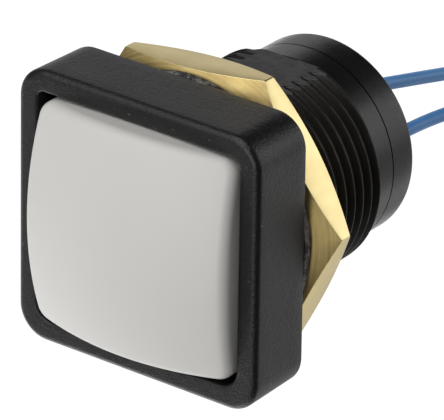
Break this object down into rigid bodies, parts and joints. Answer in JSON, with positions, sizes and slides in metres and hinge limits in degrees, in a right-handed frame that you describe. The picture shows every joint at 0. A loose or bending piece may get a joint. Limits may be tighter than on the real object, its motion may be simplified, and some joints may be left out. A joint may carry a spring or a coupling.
{
  "type": "momentary pushbutton switch",
  "caption": "Sealed panel pushbutton with a domed square cap in a square bezel, threaded bushing with one flat, gasket, hex nut and two wire leads from the rear.",
  "frame": {"origin": "centre of the panel seat: on the bushing's axis, in the plane of the gasket's rear face that presses on the panel", "axes": "+Z out of the panel along the bushing's axis towards the operator; +Y towards the bushing's flat; +X along the square bezel's side"},
  "size_m": [0.0232, 0.021, 0.0778],
  "materials": {
    "bezel_plastic": "black moulded thermoset, fine matte grain on the bezel, glossier on the rear collar",
    "cap_plastic": "warm grey-white moulded cap, smooth satin",
    "plunger_plastic": "natural nylon",
    "seal_rubber": "black seal ring",
    "spring_steel": "stainless spring steel",
    "contact_brass": "stamped brass",
    "contact_silver": "silver rivets",
    "base_plastic": "black moulded insulating base, satin",
    "potting_resin": "black poured sealing resin",
    "tinned_strand": "tinned stranded copper",
    "lead_jacket": "steel-blue lead insulation, satin",
    "tie_band": "soft black band",
    "gasket_rubber": "dark grey panel gasket, slightly dusty",
    "nut_brass": "turned brass with tool marks, slightly tarnished"
  },
  "bodies": {
    "switch_body": {"housing": "bezel_plastic", "spring_washer": "spring_steel", "return_spring": "spring_steel", "terminal_upper": "contact_brass", "terminal_lower": "contact_brass", "terminal_tips": "contact_silver", "contact_base": "base_plastic", "potting": "potting_resin", "lead_upper_core": "tinned_strand", "lead_lower_core": "tinned_strand", "lead_upper": "lead_jacket", "lead_lower": "lead_jacket", "lead_hank": "lead_jacket", "lead_tie": "tie_band", "lead_upper_tail": "lead_jacket", "lead_lower_tail": "lead_jacket", "lead_upper_end": "tinned_strand", "lead_lower_end": "tinned_strand", "panel_gasket": "gasket_rubber"},
    "button": {"button_cap": "cap_plastic", "plunger": "plunger_plastic", "plunger_seal": "seal_rubber", "plunger_clip": "spring_steel", "bridge_retainer": "spring_steel", "contact_spring": "spring_steel"},
    "bridge": {"contact_bridge": "contact_brass", "bridge_tips": "contact_silver"},
    "nut": {"hex_nut": "nut_brass"}
  },
  "joints": [
    {"name": "button_press", "type": "slide", "parent": "switch_body", "child": "button", "axis": [0, 0, -1], "range_m": [0, 0.0017], "stiffness_N_per_m": 800, "springref_m": -0.002, "deforming": ["return_spring", "contact_spring"]},
    {"name": "bridge_travel", "type": "slide", "parent": "switch_body", "child": "bridge", "axis": [0, 0, -1], "range_m": [0, 0.001]},
    {"name": "nut_travel", "type": "slide", "parent": "switch_body", "child": "nut", "axis": [0, 0, -1], "range_m": [0, 0.0074]}
  ],
  "couplings": [
    {"joint": "bridge_travel", "follows": "button_press", "ratio": 0.58823}
  ]
}
